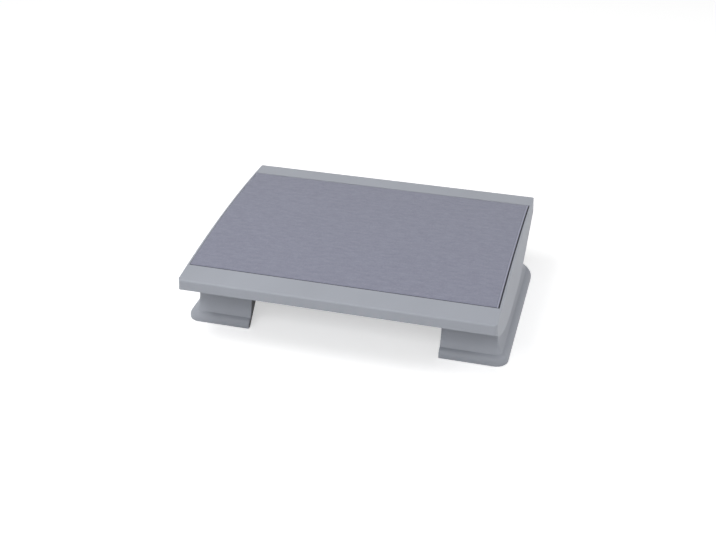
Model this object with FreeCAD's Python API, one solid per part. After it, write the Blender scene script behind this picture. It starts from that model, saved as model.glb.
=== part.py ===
import FreeCAD, Part
import math
import os
from FreeCAD import Vector

# A tilting under desk footrest: an arched platform with a carpet inlay that tips on an axle
# held by two coved feet. Lengths are millimetres. X runs along the width, +Y to the back and
# +Z up. The origin is on the floor, under the middle of the platform.

# Platform
platform_width = 450.0
platform_depth = 361.0
arch_radius = 1769.0
crown_over_pivot = 32.2
crown_from_back = 125.0
deck_wall = 3.0
fascia_drop = 31.7
back_wall_drop = 24.2
front_edge_radius = 3.0
back_edge_radius = 4.0
front_corner_radius = 4.5
back_corner_radius = 7.0
side_draft_deg = 3.0
draft_datum_drop = 7.2

# Lower edge of the side skirts: a front curve, a flat run and a sloping back run
skirt_drop = 70.7
skirt_flat_start = 125.0
skirt_back_slope_deg = 17.5
skirt_blend_radius = 150.0

# Carpet inlay
recess_front_margin = 36.0
recess_back_margin = 35.5
recess_side_margin = 2.6
recess_depth = 3.0
carpet_gap = 0.9
backing_thickness = 0.9
carpet_thickness = 2.0
inlay_clearance = 0.05

# Ribs under the platform
rib_thickness = 2.5
rib_over_bracket = 2.2
long_rib_spacing = 44.0
long_rib_count = 9
cross_rib_spacing = 44.5
cross_rib_count = 7
joint_overlap = 0.5

# Feet
foot_inner_x = 140.6
foot_outer_x = 237.0
foot_front_y = -137.5
foot_back_y = 145.5
foot_height = 52.0
foot_wall = 3.0
bead_radius = 12.0
bead_height = 2.5
lip_height = 14.0
cove_radius = 44.0
cove_flare = 16.5
foot_front_corner_radius = 18.0
foot_back_corner_radius = 36.0
foot_inner_corner_radius = 2.0
floor_gap = 0.6

# Axle and pivot
pivot_height = 80.0
tilt_limit_deg = 12.0
axle_radius = 5.0
axle_end_margin = 4.0
axle_edge_radius = 0.6
running_fit = 0.05
fixed_fit = 0.03
face_gap = 0.15
lock_pin_radius = 1.25
lock_pin_inset = 0.5

# Pivot bracket inside each foot
bracket_plate = 5.0
bracket_boss_radius = 12.0
bracket_fit = 0.3
tower_base_half = 42.0
arch_crown_height = 40.0
arch_toe_depth = 3.5
arch_slope_deg = 44.0
flange_thickness = 4.0
flange_half_depth = 95.0
flange_outer_margin = 6.0
leg_foot_width = 21.0
leg_foot_depth = 21.0
opening_margin = 3.0

# Bearing stack on the axle
bearing_width = 22.0
bearing_half_depth = 20.0
cap_height = 14.0
cap_edge_radius = 3.0
bush_wall = 2.5
bush_flange = 1.5
bush_flange_radius = 10.0
washer_thickness = 1.5
washer_radius = 10.0
spring_height = 2.0
spring_sheet = 0.8
spring_radius = 10.5
clip_thickness = 1.2
clip_radius = 8.5
clip_groove_depth = 0.8
clip_mouth = 4.0

# Screws
cap_screw_radius = 2.0
cap_screw_length = 24.0
cap_screw_offset = 14.0
cap_screw_head_radius = 3.8
cap_screw_head_height = 2.6
bracket_screw_radius = 2.0
bracket_screw_length = 13.0
bracket_screw_head_radius = 4.0
bracket_screw_head_height = 2.4
bracket_screw_span_x = 40.0
bracket_screw_first_x = 160.0
bracket_screw_half_y = 75.0
screw_boss_wall = 3.0
screw_boss_height = 8.0
recess_arm = 0.5
recess_sink = 1.2

# Rubber pads and tilt stops
pad_radius = 7.0
pad_thickness = 3.0
pad_edge_radius = 0.5
pad_boss_wall = 2.5
pad_margin = 2.5
pad_fit = 0.1
buffer_radius = 8.0
buffer_height = 6.0
buffer_edge_radius = 1.0
buffer_stem_radius = 3.0
buffer_stem_drop = 4.0
buffer_offset = 100.0
stop_boss_radius = 5.0
stop_clearance = 0.3

# Places worked out from the sizes above
crown_height = pivot_height + crown_over_pivot
fascia_bottom = crown_height - fascia_drop
back_wall_bottom = crown_height - back_wall_drop
draft_datum_height = crown_height - draft_datum_drop
skirt_lowest = crown_height - skirt_drop
front_y = -platform_depth / 2
back_y = platform_depth / 2
crown_y = back_y - crown_from_back
arch_axis_z = crown_height - arch_radius
draft_slope = math.tan(math.radians(side_draft_deg))
tilt_limit = math.radians(tilt_limit_deg)
recess_front_y = front_y + recess_front_margin
recess_back_y = back_y - recess_back_margin
recess_half_width = platform_width / 2 - recess_side_margin
plate_underside = recess_depth + deck_wall
rib_depth = crown_over_pivot - plate_underside - bracket_boss_radius - rib_over_bracket
foot_upper_x = foot_outer_x - cove_flare
crease_inset = bead_radius - math.sqrt(bead_radius ** 2 - (lip_height - bead_height) ** 2)
cove_drop = math.sqrt(cove_radius ** 2 - (cove_radius - cove_flare + crease_inset) ** 2)
cove_top = lip_height + cove_drop
washer_start_x = foot_inner_x + bracket_plate + face_gap
bush_start_x = washer_start_x + washer_thickness + face_gap
bearing_start_x = bush_start_x + bush_flange + fixed_fit
bearing_end_x = bearing_start_x + bearing_width
bearing_middle_x = (bearing_start_x + bearing_end_x) / 2
bush_end_x = bearing_end_x + fixed_fit + bush_flange
spring_start_x = bush_end_x + face_gap
outer_cheek_x = spring_start_x + spring_height + face_gap
clip_start_x = outer_cheek_x + bracket_plate + face_gap
axle_end_x = clip_start_x + clip_thickness + axle_end_margin
bush_bore = axle_radius + running_fit
bush_outer = bush_bore + bush_wall
flange_top = foot_height - foot_wall - bracket_fit
flange_bottom = flange_top - flange_thickness
flange_outer_x = foot_upper_x - foot_wall - flange_outer_margin

# A span longer than any piece, for cutting tools, and how far they run past a face
big = 600.0
past = 1.0


def place(plane, u, z):
    """A point of a side view (u along Y) or a front view (u along X)."""
    return Vector(0, u, z) if plane == "side" else Vector(u, 0, z)


def outline_face(plane, start, steps):
    """A closed face from a start point and steps: an end point, or a middle and an end point."""
    edges = []
    here = start
    for step in steps:
        if isinstance(step[0], tuple):
            middle, end = step
            arc = Part.Arc(place(plane, *here), place(plane, *middle), place(plane, *end))
            edges.append(arc.toShape())
        else:
            end = step
            edges.append(Part.makeLine(place(plane, *here), place(plane, *end)))
        here = end
    edges.append(Part.makeLine(place(plane, *here), place(plane, *start)))
    return Part.Face(Part.Wire(edges))


def prism(plane, start, steps, low, high):
    """The outline swept from low to high across its view."""
    face = outline_face(plane, start, steps)
    if plane == "side":
        face.translate(Vector(low, 0, 0))
        return face.extrude(Vector(high - low, 0, 0))
    face.translate(Vector(0, low, 0))
    return face.extrude(Vector(0, high - low, 0))


def box(x0, x1, y0, y1, z0, z1):
    return Part.makeBox(x1 - x0, y1 - y0, z1 - z0, Vector(x0, y0, z0))


def rod_x(radius, x0, x1, y=0.0, z=pivot_height):
    return Part.makeCylinder(radius, x1 - x0, Vector(x0, y, z), Vector(1, 0, 0))


def rod_z(radius, x, y, z0, z1):
    return Part.makeCylinder(radius, z1 - z0, Vector(x, y, z0))


def circle_point(centre, radius, angle_deg):
    """The point of a circle at an angle from the first axis of the view."""
    angle = math.radians(angle_deg)
    return (centre[0] + radius * math.cos(angle), centre[1] + radius * math.sin(angle))


def mirrored(shape):
    """The left hand copy of a right hand piece."""
    return shape.mirror(Vector(0, 0, 0), Vector(1, 0, 0))


def rounded(shape, radius, wanted):
    """The shape with a radius on the edges whose middle passes the test."""
    edges = [edge for edge in shape.Edges if wanted(edge.CenterOfMass)]
    return shape.makeFillet(radius, edges)


def save(name, shape):
    shape.exportStep("parts/" + name + ".step")


def group(shapes):
    return Part.makeCompound(shapes)


# Platform

def arch_cylinder(drop):
    """Everything below the arched top surface, lowered by drop."""
    start = Vector(-big / 2, crown_y, arch_axis_z)
    return Part.makeCylinder(arch_radius - drop, big, start, Vector(1, 0, 0))


def skirt_half_width(z):
    return platform_width / 2 + (draft_datum_height - z) * draft_slope


def plan_wire(half_width, y0, y1, front_radius, back_radius, z):
    """A rounded rectangle seen from above."""
    corners = [(-half_width, y0, front_radius), (half_width, y0, front_radius),
               (half_width, y1, back_radius), (-half_width, y1, back_radius)]
    centres = []
    for x, y, radius in corners:
        inward_x = -math.copysign(radius, x)
        inward_y = radius if y == y0 else -radius
        centres.append((x + inward_x, y + inward_y, radius))
    edges = []
    for index, (cx, cy, radius) in enumerate(centres):
        first = 180 + 90 * index
        points = []
        for turn in (0, 45, 90):
            u, v = circle_point((cx, cy), radius, first + turn)
            points.append(Vector(u, v, z))
        edges.append(Part.Arc(*points).toShape())
    joined = []
    for index, edge in enumerate(edges):
        following = edges[(index + 1) % len(edges)]
        joined.append(edge)
        joined.append(Part.makeLine(edge.lastVertex().Point, following.firstVertex().Point))
    return Part.Wire(joined)


def drafted_body(inset):
    """The platform's leaning sides and rounded corners, from below the skirts to above the arch."""
    low = skirt_lowest - 2 * deck_wall
    high = crown_height + deck_wall
    wires = []
    for z in (low, high):
        half = skirt_half_width(z) - inset
        wires.append(plan_wire(half, front_y + inset, back_y - inset,
                               front_corner_radius - inset, back_corner_radius - inset, z))
    return Part.makeLoft(wires, True, True)


def skirt_steps():
    """The lower edge of the skirts from the front to the back, seen from the side."""
    flat_y = front_y + skirt_flat_start
    rise = fascia_bottom - skirt_lowest
    run = flat_y - front_y
    radius = (run * run + rise * rise) / (2 * rise)
    centre = (flat_y, skirt_lowest + radius)
    end_angle = math.degrees(math.atan2(run, radius - rise))
    front_middle = circle_point(centre, radius, 270 - end_angle / 2)
    slope = math.radians(skirt_back_slope_deg)
    corner_y = back_y - (back_wall_bottom - skirt_lowest) / math.tan(slope)
    reach = skirt_blend_radius * math.tan(slope / 2)
    blend_centre = (corner_y - reach, skirt_lowest + skirt_blend_radius)
    blend_middle = circle_point(blend_centre, skirt_blend_radius, 270 + skirt_back_slope_deg / 2)
    blend_end = circle_point(blend_centre, skirt_blend_radius, 270 + skirt_back_slope_deg)
    return [(front_middle, (flat_y, skirt_lowest)),
            (corner_y - reach, skirt_lowest),
            (blend_middle, blend_end),
            (back_y, back_wall_bottom)]


def platform_block():
    """The solid that the platform is hollowed from."""
    above = crown_height + big / 4
    steps = skirt_steps() + [(back_y, above), (front_y, above)]
    block = prism("side", (front_y, fascia_bottom), steps, -big / 2, big / 2)
    block = block.common(arch_cylinder(0))
    block = rounded(block, front_edge_radius,
                    lambda p: abs(p.y - front_y) < 1 and p.z > fascia_bottom + 1 and abs(p.x) < 1)
    block = rounded(block, back_edge_radius,
                    lambda p: abs(p.y - back_y) < 1 and p.z > back_wall_bottom + 1 and abs(p.x) < 1)
    return block.common(drafted_body(0))


def platform_hollow():
    """The space inside the platform, open below, one wall thickness in."""
    inner_front = front_y + deck_wall
    inner_back = back_y - deck_wall
    low = skirt_lowest - deck_wall
    pocket_front = box(-big / 2, big / 2, inner_front, recess_front_y - deck_wall, low, big)
    pocket_back = box(-big / 2, big / 2, recess_back_y + deck_wall, inner_back, low, big)
    pockets = []
    for pocket in (pocket_front, pocket_back):
        pockets.append(pocket.common(arch_cylinder(deck_wall)))
    middle = box(-big / 2, big / 2, recess_front_y - 2 * deck_wall, recess_back_y + 2 * deck_wall,
                 low, big)
    hollow = middle.common(arch_cylinder(plate_underside))
    hollow = hollow.fuse(pockets[0]).fuse(pockets[1])
    return hollow.common(drafted_body(deck_wall))


def inlay_sheet(upper_drop, lower_drop, gap):
    """An arched sheet in the carpet recess between two depths below the top surface."""
    half = recess_half_width - gap
    sheet = box(-half, half, recess_front_y + gap, recess_back_y - gap, fascia_bottom, big)
    return sheet.common(arch_cylinder(upper_drop)).cut(arch_cylinder(lower_drop))


def platform_ribs(hollow):
    """The grid of ribs moulded under the platform's top."""
    band = arch_cylinder(deck_wall - joint_overlap).cut(arch_cylinder(plate_underside + rib_depth))
    half = rib_thickness / 2
    room = hollow.fuse(inlay_sheet(plate_underside - joint_overlap, plate_underside + joint_overlap, 0))
    ribs = []
    for index in range(long_rib_count):
        x = (index - (long_rib_count - 1) / 2) * long_rib_spacing
        ribs.append(box(x - half, x + half, front_y, back_y, fascia_bottom, crown_height))
    for index in range(cross_rib_count):
        y = (index - (cross_rib_count - 1) / 2) * cross_rib_spacing
        ribs.append(box(-big / 2, big / 2, y - half, y + half, fascia_bottom, crown_height))
    grid = ribs[0].multiFuse(ribs[1:])
    return grid.common(band).common(room)


def bearing_saddle():
    """The block under the platform that takes the upper half of a bush."""
    block = box(bearing_start_x, bearing_end_x, -bearing_half_depth, bearing_half_depth,
                pivot_height + fixed_fit, crown_height)
    return block.common(arch_cylinder(plate_underside - joint_overlap))


def stop_boss_bottom():
    """Height of the boss that meets its rubber buffer when the platform is fully tipped."""
    reach = buffer_offset + stop_boss_radius
    buffer_top = foot_height + buffer_height
    drop = pivot_height - reach * math.sin(tilt_limit) - buffer_top - stop_clearance
    return pivot_height - drop / math.cos(tilt_limit)


def cap_screw_places():
    return [(bearing_middle_x, -cap_screw_offset), (bearing_middle_x, cap_screw_offset)]


def cap_screw_seat():
    return pivot_height - cap_height + cap_screw_head_height


def make_deck_shell():
    block = platform_block()
    hollow = platform_hollow()
    shell = block.cut(hollow).cut(inlay_sheet(-deck_wall, recess_depth, 0))
    additions = [platform_ribs(hollow)]
    for side in (1, -1):
        saddle = bearing_saddle()
        additions.append(saddle if side > 0 else mirrored(saddle))
        for y in (-buffer_offset, buffer_offset):
            boss = rod_z(stop_boss_radius, side * bearing_middle_x, y, stop_boss_bottom(), crown_height)
            additions.append(boss.common(arch_cylinder(plate_underside - joint_overlap)))
    shell = shell.multiFuse(additions)
    cuts = []
    for side in (1, -1):
        bore = rod_x(bush_outer + fixed_fit, bearing_start_x - past, bearing_end_x + past)
        cuts.append(bore if side > 0 else mirrored(bore))
        top = cap_screw_seat() + cap_screw_length + fixed_fit
        for x, y in cap_screw_places():
            cuts.append(rod_z(cap_screw_radius + fixed_fit, side * x, y, pivot_height - past, top))
    return shell.cut(group(cuts)).removeSplitter()


def make_carpet_mat():
    top = recess_depth - inlay_clearance * 2 - backing_thickness - carpet_thickness
    bottom = top + carpet_thickness
    return inlay_sheet(top, bottom, carpet_gap)


def make_mat_backing():
    bottom = recess_depth - inlay_clearance
    return inlay_sheet(bottom - backing_thickness, bottom, carpet_gap)


# Feet

def crossing(centre_a, radius_a, centre_b, radius_b):
    """Where two circles cross, on the right of the way from centre a to centre b."""
    du, dz = centre_b[0] - centre_a[0], centre_b[1] - centre_a[1]
    apart = math.hypot(du, dz)
    along = (radius_a ** 2 - radius_b ** 2 + apart ** 2) / (2 * apart)
    aside = math.sqrt(radius_a ** 2 - along ** 2)
    return (centre_a[0] + (along * du + aside * dz) / apart,
            centre_a[1] + (along * dz - aside * du) / apart)


def cove_run(edge, outward, inset):
    """Points of one coved side from the bottom up: bead, its middle, crease, cove middle, wall."""
    bead_centre = (bead_radius, bead_height)
    cove_centre = (cove_flare - cove_radius, cove_top)
    crease = crossing(bead_centre, bead_radius - inset, cove_centre, cove_radius + inset)
    bead_end = math.degrees(math.atan2(crease[1] - bead_centre[1], crease[0] - bead_centre[0]))
    cove_start = math.degrees(math.atan2(crease[1] - cove_centre[1], crease[0] - cove_centre[0]))
    points = [(inset, bead_height),
              circle_point(bead_centre, bead_radius - inset, (180 + bead_end) / 2),
              crease,
              circle_point(cove_centre, cove_radius + inset, cove_start / 2),
              (cove_flare + inset, cove_top)]
    return [(edge - outward * inward, z) for inward, z in points]


def foot_corner(inset, bottom, outward):
    """An outer corner of the foot, in front (-1) or behind (1): the coved side turned about an axis."""
    radius = foot_front_corner_radius if outward < 0 else foot_back_corner_radius
    edge = foot_front_y if outward < 0 else foot_back_y
    centre_x = foot_outer_x - radius
    centre_y = edge - outward * radius
    top = foot_height - inset
    bead, bead_middle, crease, cove_middle, wall = cove_run(foot_outer_x, 1, inset)
    steps = [(bead[0], bottom), bead, (bead_middle, crease), (cove_middle, wall), (wall[0], top),
             (centre_x - radius, top)]
    face = outline_face("front", (centre_x - radius, bottom), steps)
    face = face.common(box(centre_x, foot_outer_x + past, -past, past, bottom - past, top + past)).Faces[0]
    face.translate(Vector(0, centre_y, 0))
    corner = face.revolve(Vector(centre_x, centre_y, 0), Vector(0, 0, outward), 90)
    far = edge + outward * past
    room = box(centre_x, foot_outer_x + past, min(centre_y, far), max(centre_y, far),
               bottom - past, foot_height + past)
    return corner, room


def foot_body(inset, bottom, inner_x):
    """The foot's coved outer form, or the space inside it when inset by the wall."""
    top = foot_height - inset
    bead, bead_middle, crease, cove_middle, wall = cove_run(foot_front_y, -1, inset)
    steps = [bead, (bead_middle, crease), (cove_middle, wall), (wall[0], top)]
    start = (bead[0], bottom)
    bead, bead_middle, crease, cove_middle, wall = cove_run(foot_back_y, 1, inset)
    steps += [(wall[0], top), wall, (cove_middle, crease), (bead_middle, bead), (bead[0], bottom)]
    along = prism("side", start, steps, inner_x, foot_outer_x + big / 10)
    bead, bead_middle, crease, cove_middle, wall = cove_run(foot_outer_x, 1, inset)
    steps = [(inner_x, top), (wall[0], top), wall, (cove_middle, crease), (bead_middle, bead),
             (bead[0], bottom)]
    across = prism("front", (inner_x, bottom), steps, foot_front_y - big / 10, foot_back_y + big / 10)
    body = along.common(across)
    for outward in (-1, 1):
        corner, room = foot_corner(inset, bottom, outward)
        body = body.cut(room).fuse(corner)
    return body.removeSplitter()


def foot_plan():
    """The foot's footprint with its rounded inner corners, as a tall block."""
    block = box(foot_inner_x, foot_outer_x + past, foot_front_y, foot_back_y, 0, foot_height)
    return rounded(block, foot_inner_corner_radius, lambda p: abs(p.x - foot_inner_x) < 0.01
                   and (abs(p.y - foot_front_y) < 0.01 or abs(p.y - foot_back_y) < 0.01))


def outer_pad_places():
    """Centres of the two pads under the foot's outer lip."""
    inset = foot_wall + pad_radius + pad_boss_wall + pad_margin
    x = foot_outer_x - inset
    front = foot_front_y + inset
    back = foot_back_y - foot_back_corner_radius
    return [(x, front), (x, back)]


def inner_pad_places():
    """Centres of the two pads under the bracket's legs."""
    x = foot_inner_x + bracket_plate + leg_foot_width / 2
    return [(x, leg_toe_y(-1) + leg_foot_depth / 2), (x, leg_toe_y(1) - leg_foot_depth / 2)]


def bracket_screw_places():
    places = []
    for x in (bracket_screw_first_x, bracket_screw_first_x + bracket_screw_span_x):
        for y in (-bracket_screw_half_y, bracket_screw_half_y):
            places.append((x, y))
    return places


def buffer_places():
    return [(bearing_middle_x, -buffer_offset), (bearing_middle_x, buffer_offset)]


def make_foot_shell():
    outer = foot_body(0, floor_gap, foot_inner_x).common(foot_plan())
    open_x = foot_inner_x - foot_wall
    shell = outer.cut(foot_body(foot_wall, floor_gap - past, open_x))
    additions = []
    for x, y in outer_pad_places():
        boss = rod_z(pad_radius + pad_boss_wall, x, y, floor_gap, cove_top)
        additions.append(boss.common(outer))
    shell = shell.multiFuse(additions)
    half = tower_base_half + opening_margin
    outer_tower_x = outer_cheek_x + bracket_plate + opening_margin
    low = foot_height - 2 * foot_wall
    high = foot_height + past
    cuts = [box(open_x, outer_tower_x, -half, half, low, high)]
    for x, y in outer_pad_places():
        cuts.append(rod_z(pad_radius + pad_fit, x, y, 0, pad_thickness))
    for x, y in bracket_screw_places():
        cuts.append(rod_z(bracket_screw_radius + pad_fit, x, y, low, high))
    for x, y in buffer_places():
        cuts.append(rod_z(buffer_stem_radius + pad_fit, x, y, low, high))
    return shell.cut(group(cuts)).removeSplitter()


# Pivot brackets

def leg_toe_y(outward):
    """Where a bracket leg ends at the floor, in front (-1) or behind (1)."""
    edge = foot_front_y if outward < 0 else foot_back_y
    return edge - outward * (foot_wall + bracket_fit)


def bracket_section(low, high):
    """The section inside the foot's walls, swept from low to high."""
    inset = foot_wall + bracket_fit
    bead, bead_middle, crease, cove_middle, wall = cove_run(foot_front_y, -1, inset)
    steps = [bead, (bead_middle, crease), (cove_middle, wall), (wall[0], flange_top)]
    start = (bead[0], floor_gap)
    bead, bead_middle, crease, cove_middle, wall = cove_run(foot_back_y, 1, inset)
    steps += [(wall[0], flange_top), wall, (cove_middle, crease), (bead_middle, bead),
              (bead[0], floor_gap)]
    return prism("side", start, steps, low, high)


def bracket_side():
    """The bracket's inner side: a plate arched below, with a leg at each end."""
    plate_end = foot_inner_x + bracket_plate
    arch_run = (arch_crown_height - floor_gap) / math.tan(math.radians(arch_slope_deg))
    front_toe = foot_front_y + foot_wall + arch_toe_depth
    back_toe = foot_back_y - foot_wall - arch_toe_depth
    steps = [(front_toe + arch_run, arch_crown_height), (back_toe - arch_run, arch_crown_height),
             (back_toe, floor_gap)]
    arch = prism("side", (front_toe, floor_gap), steps, foot_inner_x, plate_end)
    return bracket_section(foot_inner_x, plate_end).cut(arch)


def tower(x0):
    """An upright that narrows from the flange to a round boss about the axle."""
    lean = math.degrees(math.asin(bracket_boss_radius / math.hypot(tower_base_half,
                                                                   pivot_height - flange_bottom)))
    lean += math.degrees(math.atan2(pivot_height - flange_bottom, tower_base_half))
    right = circle_point((0, pivot_height), bracket_boss_radius, 90 - lean)
    left = (-right[0], right[1])
    crown = (0, pivot_height + bracket_boss_radius)
    steps = [right, (crown, left), (-tower_base_half, flange_bottom)]
    return prism("side", (tower_base_half, flange_bottom), steps, x0, x0 + bracket_plate)


def leg_foot(outward):
    """The small foot at the end of a leg, which holds a rubber pad."""
    toe = leg_toe_y(outward)
    y0 = min(toe, toe - outward * leg_foot_depth)
    top = pad_thickness + bracket_plate
    x0 = foot_inner_x + bracket_plate - joint_overlap
    x1 = foot_inner_x + bracket_plate + leg_foot_width
    block = box(x0, x1, y0, y0 + leg_foot_depth, floor_gap, top)
    return block.common(bracket_section(x0, x1))


def make_pivot_bracket():
    flange = box(foot_inner_x, flange_outer_x, -flange_half_depth, flange_half_depth,
                 flange_bottom, flange_top)
    pieces = [flange, tower(foot_inner_x), tower(outer_cheek_x), leg_foot(-1), leg_foot(1)]
    for x, y in bracket_screw_places():
        radius = bracket_screw_radius + screw_boss_wall
        pieces.append(rod_z(radius, x, y, flange_bottom - screw_boss_height, flange_top))
    bracket = bracket_side().multiFuse(pieces)
    cuts = [rod_x(axle_radius + fixed_fit, foot_inner_x - past, outer_cheek_x + bracket_plate + past)]
    for x, y in inner_pad_places():
        cuts.append(rod_z(pad_radius + pad_fit, x, y, 0, pad_thickness))
    screw_end = foot_height - bracket_screw_length
    for x, y in bracket_screw_places():
        cuts.append(rod_z(bracket_screw_radius + fixed_fit, x, y, screw_end - past, flange_top + past))
    for x, y in buffer_places():
        cuts.append(rod_z(buffer_radius, x, y, flange_bottom - past, flange_top + past))
    pin_x = foot_inner_x + bracket_plate / 2
    reach = bracket_boss_radius + past
    cuts.append(rod_z(lock_pin_radius + fixed_fit, pin_x, 0, pivot_height - reach, pivot_height + reach))
    return bracket.cut(group(cuts)).removeSplitter()


# Axle, bearings and fasteners

def make_axle():
    rod = rod_x(axle_radius, -axle_end_x, axle_end_x)
    cuts = []
    for side in (1, -1):
        ring = rod_x(axle_radius + past, clip_start_x, clip_start_x + clip_thickness)
        ring = ring.cut(rod_x(axle_radius - clip_groove_depth, clip_start_x, clip_start_x + clip_thickness))
        cuts.append(ring if side > 0 else mirrored(ring))
        pin_x = side * (foot_inner_x + bracket_plate / 2)
        cuts.append(rod_z(lock_pin_radius + fixed_fit, pin_x, 0, pivot_height - 2 * axle_radius,
                          pivot_height + 2 * axle_radius))
    rod = rod.cut(group(cuts))
    return rounded(rod, axle_edge_radius, lambda p: abs(abs(p.x) - axle_end_x) < 0.01)


def make_lock_pins():
    pins = []
    for side in (1, -1):
        pin_x = side * (foot_inner_x + bracket_plate / 2)
        reach = bracket_boss_radius - lock_pin_inset
        pins.append(rod_z(lock_pin_radius, pin_x, 0, pivot_height - reach, pivot_height + reach))
    return group(pins)


def make_retaining_clip():
    x0 = clip_start_x + fixed_fit
    x1 = clip_start_x + clip_thickness - fixed_fit
    ring = rod_x(clip_radius, x0, x1)
    ring = ring.cut(rod_x(axle_radius - clip_groove_depth + fixed_fit, x0, x1))
    low = pivot_height - clip_radius - past
    mouth = box(x0, x1, -clip_mouth, clip_mouth, low, pivot_height)
    return ring.cut(mouth)


def make_thrust_washer():
    ring = rod_x(washer_radius, washer_start_x, washer_start_x + washer_thickness)
    return ring.cut(rod_x(axle_radius + running_fit, washer_start_x, washer_start_x + washer_thickness))


def make_disc_spring():
    """A dished spring ring that presses the bush against its thrust washer."""
    inner = axle_radius + 2 * running_fit
    dish = spring_height - spring_sheet
    steps = [(spring_start_x + dish, pivot_height + spring_radius),
             (spring_start_x + spring_height, pivot_height + spring_radius),
             (spring_start_x + spring_sheet, pivot_height + inner)]
    face = outline_face("front", (spring_start_x, pivot_height + inner), steps)
    return face.revolve(Vector(0, 0, pivot_height), Vector(1, 0, 0), 360)


def make_pivot_bush():
    sleeve = rod_x(bush_outer, bush_start_x, bush_end_x)
    flanges = [rod_x(bush_flange_radius, bush_start_x, bush_start_x + bush_flange),
               rod_x(bush_flange_radius, bush_end_x - bush_flange, bush_end_x)]
    return sleeve.multiFuse(flanges).cut(rod_x(bush_bore, bush_start_x, bush_end_x)).removeSplitter()


def make_bearing_cap():
    cap = box(bearing_start_x, bearing_end_x, -bearing_half_depth, bearing_half_depth,
              pivot_height - cap_height, pivot_height - fixed_fit)
    cap = rounded(cap, cap_edge_radius, lambda p: p.z < pivot_height - cap_height + 0.1
                  and abs(abs(p.y) - bearing_half_depth) < 0.1)
    cuts = [rod_x(bush_outer + fixed_fit, bearing_start_x - past, bearing_end_x + past)]
    for x, y in cap_screw_places():
        bottom = pivot_height - cap_height
        cuts.append(rod_z(cap_screw_radius + fixed_fit, x, y, bottom, pivot_height))
        cuts.append(rod_z(cap_screw_head_radius + pad_fit, x, y, bottom, cap_screw_seat()))
    return cap.cut(group(cuts))


def screw(x, y, seat, shank_radius, shank_length, head_radius, head_height, upward):
    """A pan head screw with a cross recess. Upward screws have their head below the seat."""
    towards = 1 if upward else -1
    shank_end = seat + towards * shank_length
    head_end = seat - towards * head_height
    shank = rod_z(shank_radius, x, y, min(seat, shank_end), max(seat, shank_end))
    head = rod_z(head_radius, x, y, min(seat, head_end), max(seat, head_end))
    head = rounded(head, head_height / 2, lambda p: abs(p.z - head_end) < 0.01)
    arm = head_radius * recess_arm
    sink = head_end + towards * recess_sink
    low = min(head_end, sink)
    high = max(head_end, sink)
    half = arm / 4
    cross = box(x - arm, x + arm, y - half, y + half, low, high)
    cross = cross.fuse(box(x - half, x + half, y - arm, y + arm, low, high))
    return shank.fuse(head).cut(cross)


def make_cap_screws():
    return group([screw(x, y, cap_screw_seat(), cap_screw_radius, cap_screw_length,
                        cap_screw_head_radius, cap_screw_head_height - fixed_fit, True)
                  for x, y in cap_screw_places()])


def make_bracket_screws():
    return group([screw(x, y, foot_height, bracket_screw_radius, bracket_screw_length,
                        bracket_screw_head_radius, bracket_screw_head_height, False)
                  for x, y in bracket_screw_places()])


# Rubber parts

def make_foot_pads():
    pads = []
    for x, y in outer_pad_places() + inner_pad_places():
        pad = rod_z(pad_radius, x, y, 0, pad_thickness - fixed_fit)
        pads.append(rounded(pad, pad_edge_radius, lambda p: p.z < 0.01))
    return group(pads)


def make_stop_buffers():
    buffers = []
    for x, y in buffer_places():
        head = rod_z(buffer_radius, x, y, foot_height, foot_height + buffer_height)
        head = rounded(head, buffer_edge_radius, lambda p: p.z > foot_height + buffer_height - 0.01)
        stem_bottom = foot_height - foot_wall - buffer_stem_drop
        buffers.append(head.fuse(rod_z(buffer_stem_radius, x, y, stem_bottom, foot_height)))
    return group(buffers)


def main():
    os.makedirs("parts", exist_ok=True)
    save("deck_shell", make_deck_shell())
    save("carpet_mat", make_carpet_mat())
    save("mat_backing", make_mat_backing())
    save("axle_rod", make_axle())
    save("axle_lock_pins", make_lock_pins())
    paired = {
        "foot_shell": make_foot_shell(),
        "pivot_bracket": make_pivot_bracket(),
        "foot_pads": make_foot_pads(),
        "bracket_screws": make_bracket_screws(),
        "stop_buffers": make_stop_buffers(),
        "thrust_washer": make_thrust_washer(),
        "disc_spring": make_disc_spring(),
        "axle_clip": make_retaining_clip(),
        "pivot_bush": make_pivot_bush(),
        "bearing_cap": make_bearing_cap(),
        "cap_screws": make_cap_screws(),
    }
    for name, shape in paired.items():
        save("right_" + name, shape)
        save("left_" + name, mirrored(shape))


main()
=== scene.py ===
import math

import bpy
from bpy.props import FloatProperty, FloatVectorProperty, IntProperty, PointerProperty
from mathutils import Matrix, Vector


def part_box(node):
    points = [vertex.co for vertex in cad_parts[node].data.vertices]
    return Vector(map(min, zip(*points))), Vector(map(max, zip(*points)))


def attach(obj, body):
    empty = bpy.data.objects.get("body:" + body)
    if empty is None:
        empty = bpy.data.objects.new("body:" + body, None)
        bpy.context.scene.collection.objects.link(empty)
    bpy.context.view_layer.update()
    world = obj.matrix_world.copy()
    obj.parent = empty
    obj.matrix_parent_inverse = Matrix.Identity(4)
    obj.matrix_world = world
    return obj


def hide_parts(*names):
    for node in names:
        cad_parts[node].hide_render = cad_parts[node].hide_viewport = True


bl_info = {
    "name": "Tilting footrest finishes",
    "version": (1, 0, 0),
    "blender": (4, 5, 0),
    "location": "View3D > Sidebar > Footrest",
    "description": "Carpet, screws, finishes and a studio for a tilting under desk footrest",
    "category": "Object",
}

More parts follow.
